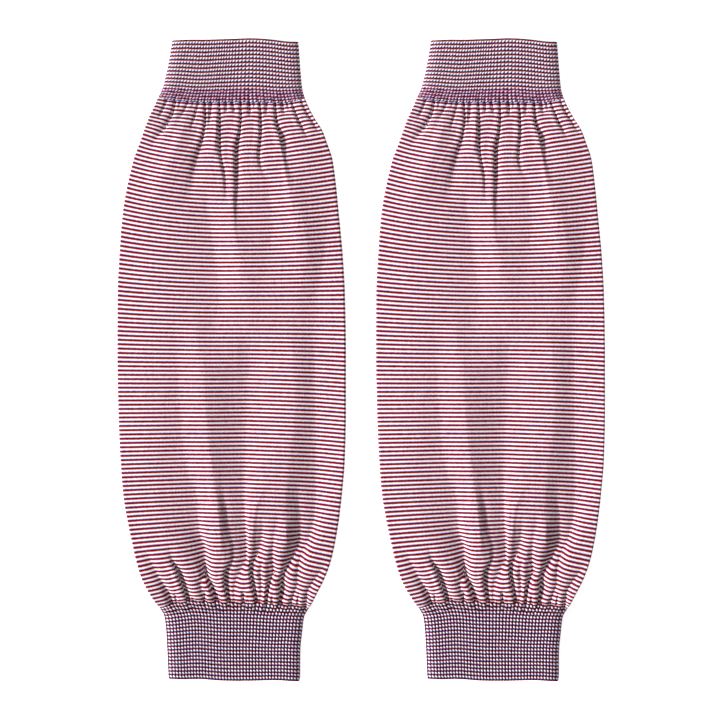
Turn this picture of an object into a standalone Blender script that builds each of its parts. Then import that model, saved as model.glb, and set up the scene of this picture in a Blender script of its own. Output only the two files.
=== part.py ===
"""Pair of loose knitted sleeves, laid flat side by side.

Each sleeve is a full tube of fine striped jersey, gathered at both ends into a ribbed cuff.
Both lie on their own back, so the underside is flat and the upper panel rests on the lower one.
Sizes are in millimetres and become metres where the vertices are made. +X runs across a sleeve,
+Y along it to its upper cuff and +Z up. The origin is the middle of the pair, on the surface.
"""

import math
from collections import namedtuple

import bmesh
import bpy

MM = 0.001

# Where the two sleeves lie, from the middle of the pair to the middle of each sleeve
SLEEVE_OFFSET = 90.65

# Walls of the two knits
JERSEY_WALL = 1.2
RIB_WALL = 1.8

# Seams between the body and its cuffs, where they cross the middle of a sleeve
UPPER_SEAM = 180.5
LOWER_SEAM = -170.0

# The flattened tube: height of its side folds, and how full its upper panel is near them
SIDE_FOLD_HEIGHT = 2.1
SIDE_FULLNESS = 6
# Lowest that a crease leaves the upper panel, so that the two panels never cross
LOWEST_PANEL = 4.2
FULL_CREASE_HEIGHT = 9.0
# Most that the wall of a steep flank is thickened downwards to stay as thick across as elsewhere
MOST_FLANK = 2.0
FLANK_STEP = 0.004

# Ribs across the upper panel of a cuff, and how far each is raised
RIBS = 42
RIB_RAISE = 0.5

# Points round a ring, and rings along each piece
BODY_POINTS_ACROSS = 43
BODY_RINGS = (
    180.35, 177, 171, 164, 156, 148, 139, 129, 118, 106, 92, 72, 44, 8, -30, -62, -86,
    -102, -115, -127, -137, -146, -153, -159, -164, -168, -169.85,
)
UPPER_CUFF_RINGS = (224.5, 190, 180.65)
LOWER_CUFF_RINGS = (-170.15, -179, -224.5)
# Points of the flat underside, as shares of the width, and how far each is rounded up to the fold
UNDERSIDE = ((0.985, 0.45), (0.96, 0.0), (0.75, 0.0), (0.5, 0.0), (0.25, 0.0), (0.04, 0.0), (0.015, 0.45))

# Outline of a sleeve seen from above: where its left and right side folds lie at each place along it
Outline = namedtuple("Outline", "y left right")
OUTLINE = (
    Outline(226, -41.5, 46.5),
    Outline(216, -43, 47.3),
    Outline(199, -46.3, 48.6),
    Outline(190, -48.7, 49.6),
    Outline(183, -52, 51.6),
    Outline(177, -54.6, 54.2),
    Outline(169, -58.3, 58.6),
    Outline(161, -61.3, 63.6),
    Outline(152, -64.4, 67),
    Outline(140, -68.9, 70.9),
    Outline(123, -73, 73.2),
    Outline(102, -76.6, 75.3),
    Outline(73, -78.8, 78),
    Outline(46, -80.1, 79.5),
    Outline(4, -80.2, 80.2),
    Outline(-36, -79.5, 80.2),
    Outline(-70, -78, 79.4),
    Outline(-95, -76, 77.3),
    Outline(-112, -73.2, 75.3),
    Outline(-129, -69.6, 72.4),
    Outline(-143, -66.3, 69),
    Outline(-155, -62.2, 64.4),
    Outline(-163, -58, 60.2),
    Outline(-171, -52.7, 56.2),
    Outline(-175, -49.6, 53.5),
    Outline(-180, -47.2, 50.8),
    Outline(-190, -46, 49.5),
    Outline(-204, -45.2, 48.2),
    Outline(-221, -44.4, 48),
    Outline(-226, -43.6, 47.2),
)

# Courses of the knit: how far a row that passes the middle at y rises at the left and right side
# folds, and how high the upper panel stands over the surface there
Course = namedtuple("Course", "y left_rise right_rise height")
COURSES = (
    Course(226, -0.4, -1.6, 4.5),
    Course(204, 0.2, -1.2, 4.5),
    Course(186, 1.6, 1.2, 4.5),
    Course(180.5, 2.7, 2.2, 5.0),
    Course(175, 3.7, 2.6, 8.4),
    Course(166, 5.6, 3.6, 10.6),
    Course(150, 8.0, 5.6, 11.0),
    Course(126, 8.9, 5.5, 9.8),
    Course(98, 8.0, 4.2, 8.2),
    Course(64, 5.2, 2.0, 6.6),
    Course(24, 2.2, -0.8, 6.0),
    Course(-16, 0.2, -2.7, 5.8),
    Course(-60, -0.8, -3.3, 6.2),
    Course(-96, -2.0, -4.4, 7.6),
    Course(-124, -3.6, -6.2, 9.4),
    Course(-145, -5.6, -8.2, 10.8),
    Course(-157, -5.0, -7.2, 10.8),
    Course(-165, -4.2, -5.2, 8.8),
    Course(-170, -3.6, -3.6, 5.0),
    Course(-177, -2.0, -2.4, 4.5),
    Course(-200, -0.6, -1.0, 4.5),
    Course(-226, 0.4, 0.4, 4.5),
)
# How sharply a course turns up or down towards the side folds
COURSE_TURN = 2.2

# Gathers of the upper panel. Each crease runs from the seam at its root, through two places at a
# third and two thirds of its length, to its tip. Steep says which of its flanks drops fast:
# 1 the right one, -1 the left one, 0 neither
Gather = namedtuple("Gather", "root third two_thirds tip tip_y depth width steep")
UPPER_GATHERS = (
    Gather(-39.1, -42.5, -46.1, -54.5, 152, 4.4, 4.6, 1),
    Gather(-30.5, -32.7, -34.8, -37.5, 162, 2.6, 3.4, 1),
    Gather(-18.8, -19.8, -24.4, -32.3, 118, 5.2, 5.2, 1),
    Gather(-8.4, -7.7, -6.2, -4.0, 110, 4.2, 4.4, 0),
    Gather(6.5, 1.5, 1.4, 5.1, 64, 6.0, 6.0, -1),
    Gather(19.0, 19.7, 18.6, 21.5, 118, 4.8, 4.8, -1),
    Gather(30.2, 33.1, 37.9, 41.2, 90, 5.2, 5.4, -1),
    Gather(42.0, 45.0, 47.9, 52.5, 154, 4.2, 4.4, -1),
    Gather(48.4, 51.8, 56.0, 61.3, 158, 3.0, 3.4, -1),
)
LOWER_GATHERS = (
    Gather(-42.0, -43.6, -45.5, -48.0, -159, 2.6, 3.4, 0),
    Gather(-31.0, -34.8, -38.7, -41.0, -138, 5.2, 5.4, -1),
    Gather(-14.8, -20.2, -27.0, -31.0, -108, 4.8, 5.6, 1),
    Gather(-4.0, -5.6, -6.2, -5.3, -106, 3.8, 5.4, -1),
    Gather(2.5, 2.7, 3.8, 8.0, -149, 4.6, 4.2, -1),
    Gather(17.0, 12.4, 12.0, 12.7, -84, 4.8, 5.8, -1),
    Gather(23.5, 24.2, 24.4, 24.4, -125, 3.0, 3.0, 0),
    Gather(32.4, 35.0, 39.0, 43.5, -101, 5.4, 6.0, -1),
    Gather(40.5, 44.2, 50.0, 56.5, -134, 3.8, 4.6, 1),
    Gather(50.3, 51.6, 52.8, 54.0, -152, 2.6, 3.4, 1),
)
STEEP_SHARE = 0.5
GENTLE_SHARE = 1.25

# Broad, shallow troughs of the loose cloth between the gathers
Trough = namedtuple("Trough", "x lean top bottom depth width")
TROUGHS = (
    Trough(51.5, 0.06, 22, -70, 0.7, 8),
    Trough(4.5, 0.0, 20, -92, 0.6, 9),
    Trough(-11.0, 0.02, -45, -98, 0.7, 8),
    Trough(-46.0, -0.05, 60, -20, 0.5, 10),
)


def at(table, column, y):
    """A column of a table at the place y, eased through the rows, which run down in y."""
    last = len(table) - 2
    row = 0
    while row < last and y < table[row + 1].y:
        row += 1
    above, below = table[row], table[row + 1]
    before, after = table[max(row - 1, 0)], table[min(row + 2, len(table) - 1)]
    span = below.y - above.y
    share = (y - above.y) / span
    start, end = getattr(above, column), getattr(below, column)
    start_slope = (end - getattr(before, column)) / (below.y - before.y) * span
    end_slope = (getattr(after, column) - start) / (after.y - above.y) * span
    square, cube = share**2, share**3
    return (
        (2 * cube - 3 * square + 1) * start
        + (cube - 2 * square + share) * start_slope
        + (3 * square - 2 * cube) * end
        + (cube - square) * end_slope
    )


def through(gather, share):
    """Where a gather's crease lies across the sleeve at a share of its length from the root."""
    places = (gather.root, gather.third, gather.two_thirds, gather.tip)
    total = 0.0
    for i, place in enumerate(places):
        weight = 1.0
        for j in range(len(places)):
            if j != i:
                weight *= (3 * share - j) / (i - j)
        total += weight * place
    return total


def gather_depth(gather, root_y, x, y):
    """How far one gather sinks the upper panel at a point."""
    share = (root_y - y) / (root_y - gather.tip_y)
    if share >= 1:
        return 0.0
    share = max(share, 0.0)
    side = x - through(gather, share)
    towards_steep = side * gather.steep > 0
    width = gather.width
    if gather.steep:
        width *= STEEP_SHARE if towards_steep else GENTLE_SHARE
    fade = (1 - share**2) ** 1.3
    return gather.depth * fade * math.exp(-((side / width) ** 2))


def trough_depth(trough, x, y):
    """How far one broad trough sinks the upper panel at a point."""
    middle = (trough.top + trough.bottom) / 2
    half = (trough.top - trough.bottom) / 2
    along = (y - middle) / half
    if abs(along) >= 1:
        return 0.0
    side = (x - trough.x - trough.lean * (y - middle)) / trough.width
    return trough.depth * (1 - along**2) ** 2 * math.exp(-(side**2))


def crease_depth(x, y, height):
    """All the creases at a point of the upper panel, kept clear of the panel below."""
    depth = sum(gather_depth(gather, UPPER_SEAM, x, y) for gather in UPPER_GATHERS)
    depth += sum(gather_depth(gather, LOWER_SEAM, x, y) for gather in LOWER_GATHERS)
    room = (height - LOWEST_PANEL) / (FULL_CREASE_HEIGHT - LOWEST_PANEL)
    depth *= min(max(room, 0.0), 1.0)
    depth += sum(trough_depth(trough, x, y) for trough in TROUGHS)
    return depth


def place(share, course_y):
    """Where a share of the width lies on a course: its x and y, and the two sides there."""
    side = 2 * share - 1
    rise = at(COURSES, "left_rise" if side < 0 else "right_rise", course_y)
    y = course_y + rise * abs(side) ** COURSE_TURN
    left = at(OUTLINE, "left", y)
    right = at(OUTLINE, "right", y)
    return left + share * (right - left), y, left, right


def rib_raise(share):
    """Height of a cuff's rib at a share of its width, fading at the side folds."""
    wave = abs((share * RIBS) % 1 * 2 - 1)
    fade = min(1.0, 12 * min(share, 1 - share))
    return RIB_RAISE * (1 - wave) * fade


def gathered_height(share, course_y):
    """Height of the creased upper panel before its side folds, and where it is across."""
    x, y, left, right = place(share, course_y)
    height = at(COURSES, "height", course_y)
    return height - crease_depth(x, y, height), x


def panel_height(share, course_y, wall, ribbed):
    """Height of the upper panel's face over the surface, wall being how far inside it lies."""
    fullness = math.sqrt(max(0.0, 1 - abs(2 * share - 1) ** SIDE_FULLNESS))
    if ribbed:
        height = at(COURSES, "height", course_y)
        raised = 0.0 if wall else rib_raise(share)
        return SIDE_FOLD_HEIGHT + (height - wall - SIDE_FOLD_HEIGHT) * fullness + raised
    height, x = gathered_height(share, course_y)
    if wall:
        before, start = gathered_height(max(share - FLANK_STEP, 0.0), course_y)
        after, end = gathered_height(min(share + FLANK_STEP, 1.0), course_y)
        slope = (after - before) / (end - start)
        height -= wall * min(math.hypot(1.0, slope), MOST_FLANK)
    return SIDE_FOLD_HEIGHT + (height - SIDE_FOLD_HEIGHT) * fullness


def panel_shares(points):
    """Shares of the width where a ring's upper points lie, closer together at the side folds."""
    shares = []
    for i in range(points):
        even = (i + 1) / (points + 1)
        shares.append(even - 0.35 * math.sin(2 * math.pi * even) / (2 * math.pi))
    return shares


def ring(course_y, wall, shares, ribbed):
    """One closed ring round the sleeve on a course, wall being how far inside the surface it lies.

    It runs over the upper panel from left to right, round the right side fold, back under the
    sleeve and round the left side fold.
    """
    points = []
    for share in shares:
        x, y, left, right = place(share, course_y)
        middle = (left + right) / 2
        inwards = 1 - 2 * wall / (right - left)
        height = panel_height(share, course_y, wall, ribbed)
        points.append((middle + (x - middle) * inwards, y, height))
    x, y, left, right = place(1.0, course_y)
    points.append((right - wall, y, SIDE_FOLD_HEIGHT))
    for share, rounding in UNDERSIDE:
        x, y, left, right = place(share, course_y)
        middle = (left + right) / 2
        inwards = 1 - 2 * wall / (right - left)
        height = wall + (SIDE_FOLD_HEIGHT - wall) * rounding
        points.append((middle + (x - middle) * inwards, y, height))
    x, y, left, right = place(0.0, course_y)
    points.append((left + wall, y, SIDE_FOLD_HEIGHT))
    return points


def tube_mesh(name, stations, wall, shares, ribbed=False):
    """A tube with an even wall, lofted through rings at the stations, open at both ends."""
    bm = bmesh.new()
    skins = []
    for inset in (0.0, wall):
        rings = []
        for station in stations:
            corners = ring(station, inset, shares, ribbed)
            rings.append([bm.verts.new((x * MM, y * MM, z * MM)) for x, y, z in corners])
        skins.append(rings)
    outer, inner = skins
    count = len(outer[0])
    for i in range(count):
        j = (i + 1) % count
        for k in range(len(stations) - 1):
            bm.faces.new((outer[k][i], outer[k + 1][i], outer[k + 1][j], outer[k][j]))
            bm.faces.new((inner[k][j], inner[k + 1][j], inner[k + 1][i], inner[k][i]))
        bm.faces.new((outer[0][j], inner[0][j], inner[0][i], outer[0][i]))
        bm.faces.new((outer[-1][i], inner[-1][i], inner[-1][j], outer[-1][j]))
    bmesh.ops.recalc_face_normals(bm, faces=bm.faces)
    mesh = bpy.data.meshes.new(name)
    bm.to_mesh(mesh)
    bm.free()
    mesh.shade_smooth()
    mesh.set_sharp_from_angle(angle=math.radians(50))
    return mesh


def knit_material(name, colour):
    """A matt cotton knit of one colour, with the soft glow of its loose fibres."""
    material = bpy.data.materials.new(name)
    material.use_nodes = True
    shader = material.node_tree.nodes["Principled BSDF"]
    shader.inputs["Base Color"].default_value = (*colour, 1.0)
    shader.inputs["Roughness"].default_value = 0.9
    shader.inputs["Metallic"].default_value = 0.0
    shader.inputs["Sheen Weight"].default_value = 0.3
    return material


def body_mesh():
    """The full jersey tube between the two seams."""
    return tube_mesh("body", BODY_RINGS, JERSEY_WALL, panel_shares(BODY_POINTS_ACROSS))


def cuff_mesh(name, stations):
    """A ribbed cuff, each rib one raised line over a plain inside."""
    half_ribs = 2 * RIBS
    shares = [i / half_ribs for i in range(1, half_ribs)]
    return tube_mesh(name, stations, RIB_WALL, shares, ribbed=True)


def main():
    for thing in list(bpy.data.objects):
        bpy.data.objects.remove(thing, do_unlink=True)
    collection = bpy.data.collections.new("pair_of_knitted_sleeves")
    bpy.context.scene.collection.children.link(collection)

    jersey = knit_material("striped_jersey", (0.48, 0.28, 0.34))
    rib = knit_material("rib_knit", (0.34, 0.20, 0.27))
    pieces = {
        "body": (body_mesh(), jersey),
        "upper_cuff": (cuff_mesh("upper_cuff", UPPER_CUFF_RINGS), rib),
        "lower_cuff": (cuff_mesh("lower_cuff", LOWER_CUFF_RINGS), rib),
    }
    for mesh, material in pieces.values():
        mesh.materials.append(material)
    for side, offset in (("left", -SLEEVE_OFFSET), ("right", SLEEVE_OFFSET)):
        sleeve = bpy.data.objects.new(f"{side}_sleeve", None)
        sleeve.location.x = offset * MM
        collection.objects.link(sleeve)
        for piece, (mesh, material) in pieces.items():
            thing = bpy.data.objects.new(f"{side}_{piece}", mesh)
            thing.parent = sleeve
            collection.objects.link(thing)


main()
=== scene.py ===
"""Looks of a pair of loose knitted sleeves, laid flat side by side and seen from straight above.

Each sleeve has a full body of fine striped cotton jersey, gathered at both ends into a cuff of
1 by 1 rib. Shapes are worked out in millimetres on one sleeve, whose middle is its own zero, and
are moved to the two sleeves' places at the end. +Y runs along a sleeve to its upper cuff.
"""

import math
from collections import namedtuple

import bmesh
import bpy
import numpy as np
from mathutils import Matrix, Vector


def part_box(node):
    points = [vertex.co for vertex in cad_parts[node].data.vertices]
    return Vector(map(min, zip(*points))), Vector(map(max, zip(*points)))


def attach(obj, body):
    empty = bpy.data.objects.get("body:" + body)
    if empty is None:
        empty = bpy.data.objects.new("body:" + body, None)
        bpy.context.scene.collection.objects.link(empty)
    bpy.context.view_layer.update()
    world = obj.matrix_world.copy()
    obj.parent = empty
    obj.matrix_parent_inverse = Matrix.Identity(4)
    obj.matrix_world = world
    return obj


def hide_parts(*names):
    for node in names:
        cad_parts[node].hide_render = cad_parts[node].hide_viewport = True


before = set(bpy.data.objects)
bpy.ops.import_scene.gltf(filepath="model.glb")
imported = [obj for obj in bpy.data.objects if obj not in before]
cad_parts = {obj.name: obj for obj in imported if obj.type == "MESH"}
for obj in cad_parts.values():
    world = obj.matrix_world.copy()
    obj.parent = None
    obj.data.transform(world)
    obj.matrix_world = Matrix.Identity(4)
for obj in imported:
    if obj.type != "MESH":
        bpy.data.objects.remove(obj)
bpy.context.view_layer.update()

MM = 0.001

# Seams between the body and its cuffs, and the cuffs' free ends, at the middle of a sleeve, and
# how wide the body lies
UPPER_END = 224.5
UPPER_SEAM = 180.5
LOWER_SEAM = -170.0
LOWER_END = -224.5
BODY_WIDTH = 160

# Flat sizes of the cloths, round by along, in metres
BODY_FLAT = (0.336, 0.366)
UPPER_CUFF_FLAT = (0.2, 0.045)
LOWER_CUFF_FLAT = (0.2, 0.055)

# The flattened tube: height of its side folds, and how square its panels are near them, from a
# round turn at 2 to an upright side at a few hundred
SIDE_FOLD_HEIGHT = 2.1
BODY_FULLNESS = 260
CUFF_FULLNESS = 16
UNDERSIDE_FULLNESS = 30
INSIDE_FULLNESS = 12
CREASE_FULLNESS = 4

# Walls of cloth, and the most that a wall is deepened where it lies on a slope, in times its
# thickness. The slope is measured over a small share of the width
JERSEY_WALL = 1.1
RIB_WALL = 1.6
DEEPEST_WALL = 2.0
SLOPE_STEP = 0.003
# How far the body's ends are tucked into the cuffs, and how much lower they lie there
TUCK = 1.2
TUCK_DROP = 0.7
# How far a wall's rounded rim stands out past its last row
RIM = 0.35

# Stripes and wales of the jersey
STRIPE = 2.92
JERSEY_WALE = 1.0

# Ribs of the cuffs: how high they stand, how square they are, how much of their height is left at
# the side folds and how fast it grows from there with the share of the width. The under panel is
# a little thicker inside, to carry its ribs
UPPER_RIB_RAISE = 0.5
LOWER_RIB_RAISE = 0.7
RIB_ROUNDNESS = 0.75
RIB_LEAST = 0.35
RIB_GROWTH = 14
RIB_BACKING = 0.3

# Outline of a sleeve from above: where its side folds lie at each place along it
Outline = namedtuple("Outline", "y left right")
OUTLINE = (
    Outline(226, -41.5, 46.5),
    Outline(216, -43, 47.3),
    Outline(199, -46.3, 48.6),
    Outline(190, -48.7, 49.6),
    Outline(183, -52, 51.6),
    Outline(177, -54.6, 54.2),
    Outline(169, -58.3, 58.6),
    Outline(161, -61.3, 63.6),
    Outline(152, -64.4, 67),
    Outline(140, -68.9, 70.9),
    Outline(123, -73, 73.2),
    Outline(102, -76.6, 75.3),
    Outline(73, -78.8, 78),
    Outline(46, -80.1, 79.5),
    Outline(4, -80.2, 80.2),
    Outline(-36, -79.5, 80.2),
    Outline(-70, -78, 79.4),
    Outline(-95, -76, 77.3),
    Outline(-112, -73.2, 75.3),
    Outline(-129, -69.6, 72.4),
    Outline(-143, -66.3, 69),
    Outline(-155, -62.2, 64.4),
    Outline(-163, -58, 60.2),
    Outline(-171, -52.7, 56.2),
    Outline(-175, -49.6, 53.5),
    Outline(-180, -47.2, 50.8),
    Outline(-190, -46, 49.5),
    Outline(-204, -45.2, 48.2),
    Outline(-221, -44.4, 48),
    Outline(-226, -43.6, 47.2),
)

# Courses of the knit: how far a row that passes the middle at y rises at the side folds, and how
# high the upper panel stands over the surface there
Course = namedtuple("Course", "y left_rise right_rise height")
COURSES = (
    Course(226, 0, 0, 4.5),
    Course(204, 0.2, 0, 4.5),
    Course(186, 1.6, 1.2, 4.5),
    Course(180.5, 2.7, 2.2, 6.2),
    Course(175, 4.0, 2.6, 7.2),
    Course(166, 5.6, 3.6, 9.4),
    Course(150, 8.0, 5.6, 10.4),
    Course(126, 8.9, 5.5, 9.8),
    Course(98, 8.0, 4.2, 9.2),
    Course(64, 5.2, 2.0, 8.6),
    Course(24, 2.2, -0.8, 8.4),
    Course(-16, 0.2, -2.7, 8.8),
    Course(-60, -0.8, -3.3, 9.2),
    Course(-96, -2.0, -4.4, 9.8),
    Course(-124, -3.6, -6.2, 10.6),
    Course(-145, -5.6, -8.2, 10.6),
    Course(-157, -5.0, -7.2, 9.4),
    Course(-165, -4.2, -5.2, 7.8),
    Course(-170, -3.0, -2.6, 6.2),
    Course(-177, -1.2, -1.0, 5.2),
    Course(-186, -0.5, -0.4, 4.5),
    Course(-200, 0, 0, 4.5),
    Course(-226, 0, 0, 4.5),
)
# How late on the way to a side fold that rise comes, as a power of the share of the way
COURSE_TURN = 2.2

# Waves of the rows in the cuffs: humps at a share of the width, as high as said at the free end,
# halfway and at the seam, and gone a little way into the body
Wave = namedtuple("Wave", "share spread end middle seam")
UPPER_WAVES = (
    Wave(0.0, 0.12, -0.85, -0.3, 0.1),
    Wave(0.25, 0.13, -0.5, -1.05, -0.4),
    Wave(0.62, 0.12, 0.55, 0.6, 0.1),
    Wave(0.82, 0.10, 0.0, 0.0, -1.1),
    Wave(0.96, 0.14, -1.9, -1.8, -0.4),
)
LOWER_WAVES = (
    Wave(0.0, 0.10, 1.2, 0.0, 0.1),
    Wave(0.22, 0.14, 1.3, 1.5, 1.8),
    Wave(0.80, 0.14, 0.45, -0.7, -0.9),
    Wave(1.0, 0.10, -0.45, -1.0, -0.5),
)
# How far past the seam a wave goes on into the body
WAVE_FADE = 12

# Folds of the upper panel. A fold is the line of its bottom, or of its crest where its depth is
# less than nothing, through a few stops: where it lies across, how deep it is, and how wide its
# left and right flanks are there. Lean is how far the cloth beside a steep flank hangs over it,
# more than nothing for the left one and less for the right one
Stop = namedtuple("Stop", "y x depth left right")
Fold = namedtuple("Fold", "lean stops")

# How much of a small gather's depth is left halfway along, and how much wider it is at its tip
HALFWAY_DEPTH = 0.85
TIP_SPREAD = 1.6


def short_fold(root_y, root, tip_y, tip, depth, width):
    """A small gather that only puckers the cloth beside a seam."""
    middle_y, middle = (root_y + tip_y) / 2, (root + tip) / 2
    stops = (
        Stop(root_y, root, depth, width, width),
        Stop(middle_y, middle, HALFWAY_DEPTH * depth, width, width),
        Stop(tip_y, tip, 0, TIP_SPREAD * width, TIP_SPREAD * width),
    )
    return Fold(0, stops)


# Folds that start at the upper cuff
UPPER_FOLDS = (
    # Pleat that runs out to the left
    Fold(-0.6, (
        Stop(180.5, -39.1, 1.8, 1.2, 0.8),
        Stop(173, -40.8, 2.2, 1.3, 0.9),
        Stop(166, -44.2, 2.6, 2.2, 1.2),
        Stop(160, -48.4, 2.0, 3.2, 2.0),
        Stop(153, -53.8, 1.0, 4.0, 3.0),
        Stop(144, -58, 0, 5.0, 4.0),
    )),
    # Small pleat beside it
    Fold(-0.4, (
        Stop(180.5, -30.3, 1.5, 0.9, 0.8),
        Stop(174, -33.0, 0.9, 1.2, 0.8),
        Stop(168, -36.2, 0, 2.0, 1.2),
    )),
    # Crease that opens into a broad trough on the left
    Fold(0.8, (
        Stop(180.5, -18.9, 2.6, 0.6, 0.9),
        Stop(170, -18.6, 3.2, 0.6, 1.0),
        Stop(160, -19.8, 3.4, 0.6, 1.1),
        Stop(152, -21.6, 2.6, 0.9, 2.0),
        Stop(144, -23.0, 2.0, 2.6, 5.0),
        Stop(134, -25.4, 1.8, 3.6, 7.0),
        Stop(122, -28.0, 1.3, 4.4, 6.0),
        Stop(106, -32, 0, 5.0, 7.0),
    )),
    # Narrow crease left of the middle
    Fold(0.9, (
        Stop(180.5, -8.7, 3.0, 0.6, 0.8),
        Stop(170, -8.4, 3.6, 0.6, 0.8),
        Stop(158, -8.6, 3.6, 0.6, 0.9),
        Stop(148, -8.2, 3.0, 0.7, 1.0),
        Stop(139, -6.8, 2.2, 0.8, 1.2),
        Stop(129, -4.6, 1.3, 1.0, 1.6),
        Stop(118, -3.6, 0.7, 1.4, 2.0),
        Stop(107, -4.0, 0, 2.0, 2.6),
    )),
    # The longest and deepest crease, right of the middle
    Fold(1.1, (
        Stop(180.5, 6.2, 3.0, 0.6, 0.8),
        Stop(172, 6.2, 3.6, 0.6, 0.9),
        Stop(165, 5.8, 3.8, 0.6, 1.0),
        Stop(159, 4.8, 4.0, 0.6, 1.4),
        Stop(153, 3.2, 4.2, 0.7, 2.4),
        Stop(146, 2.4, 4.4, 0.7, 2.7),
        Stop(132, 2.4, 4.0, 0.7, 2.8),
        Stop(122, 3.0, 2.4, 0.8, 3.0),
        Stop(112, 3.4, 1.0, 1.2, 4.0),
        Stop(98, 3.8, 0.5, 1.8, 6.0),
        Stop(84, 5.2, 0.3, 2.2, 8.0),
        Stop(70, 8, 0, 3.0, 8.0),
    )),
    # Straight crease that fades early
    Fold(0.9, (
        Stop(180.5, 19.4, 3.0, 0.6, 0.8),
        Stop(172, 20.0, 3.6, 0.6, 1.0),
        Stop(162, 20.0, 3.6, 0.6, 1.3),
        Stop(153, 19.8, 2.2, 0.7, 1.4),
        Stop(146, 19.2, 1.9, 0.9, 2.2),
        Stop(141, 19.6, 1.3, 1.2, 2.4),
        Stop(134, 21.4, 0.8, 1.6, 2.6),
        Stop(126, 24.6, 0, 2.0, 4.0),
    )),
    # Crease that drifts to the right and opens
    Fold(0.9, (
        Stop(180.5, 30.3, 3.0, 0.6, 0.9),
        Stop(172, 30.5, 3.8, 0.6, 1.2),
        Stop(165, 31.4, 4.0, 0.7, 1.7),
        Stop(158, 33.6, 3.8, 0.7, 3.2),
        Stop(150, 35.8, 2.0, 1.0, 4.6),
        Stop(142, 38.0, 1.0, 2.0, 5.2),
        Stop(133, 40.4, 0.7, 3.0, 5.6),
        Stop(120, 43.4, 0, 4.0, 6.0),
    )),
    # Pleat that runs out to the right
    Fold(0.7, (
        Stop(180.5, 42.0, 1.8, 0.6, 0.9),
        Stop(174, 44.2, 2.0, 0.6, 1.2),
        Stop(167, 47.0, 2.2, 0.7, 1.5),
        Stop(161, 50.6, 1.0, 1.2, 1.8),
        Stop(154, 54, 0, 2.0, 3.0),
    )),
    # Pleat nearest to the right side fold
    Fold(0.5, (
        Stop(180.5, 48.9, 1.5, 0.6, 1.0),
        Stop(173, 52.6, 1.5, 0.7, 1.2),
        Stop(166, 57.4, 1.2, 1.2, 1.6),
        Stop(157, 63, 0, 2.0, 2.0),
    )),
    # Broad crest on the left
    Fold(0, (
        Stop(172, -31.0, 0, 3.0, 6.0),
        Stop(160, -34.5, -1.4, 6.0, 7.0),
        Stop(146, -39.5, -1.9, 8.0, 10.0),
        Stop(130, -47.0, -1.8, 9.0, 13.0),
        Stop(108, -55.0, -0.9, 10.0, 12.0),
        Stop(84, -62, 0, 10.0, 12.0),
    )),
    # Low crest left of the middle
    Fold(0, (
        Stop(176, -10.8, 0, 2.4, 1.0),
        Stop(164, -11.0, -1.0, 3.2, 1.0),
        Stop(150, -12.0, -1.2, 4.5, 2.0),
        Stop(138, -13.5, 0, 5.0, 4.0),
    )),
    # Long crest on the right
    Fold(0, (
        Stop(168, 29.0, 0, 3.0, 3.0),
        Stop(156, 33.0, -0.7, 2.4, 3.0),
        Stop(142, 36.0, -0.8, 2.8, 4.0),
        Stop(126, 38.6, -1.3, 2.6, 8.0),
        Stop(110, 42.0, -1.2, 4.0, 10.0),
        Stop(86, 46.0, -1.1, 8.0, 11.0),
        Stop(56, 48.0, 0, 10.0, 11.0),
    )),
    # Small gathers beside the upper cuff, from left to right
    short_fold(181.0, -45.4, 168.0, -51.0, 1.3, 1.1),
    short_fold(181.5, -35.6, 175.5, -36.8, 0.9, 0.8),
    short_fold(181.5, -26.6, 176.5, -27.2, 0.7, 0.8),
    short_fold(181.5, -22.6, 160.0, -28.4, 1.5, 0.9),
    short_fold(181.5, -13.9, 163.0, -15.6, 1.9, 1.1),
    short_fold(181.5, -3.9, 172.5, -3.4, 2.0, 0.9),
    short_fold(181.5, 0.3, 172.0, 2.6, 2.2, 0.9),
    short_fold(181.5, 12.6, 171.0, 13.2, 2.8, 1.0),
    short_fold(181.5, 16.0, 175.5, 16.0, 1.2, 0.8),
    short_fold(181.5, 24.9, 171.0, 24.4, 2.0, 1.0),
    short_fold(181.5, 35.3, 172.0, 37.0, 2.5, 1.0),
    short_fold(181.5, 38.8, 175.0, 40.2, 1.4, 0.8),
)
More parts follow.
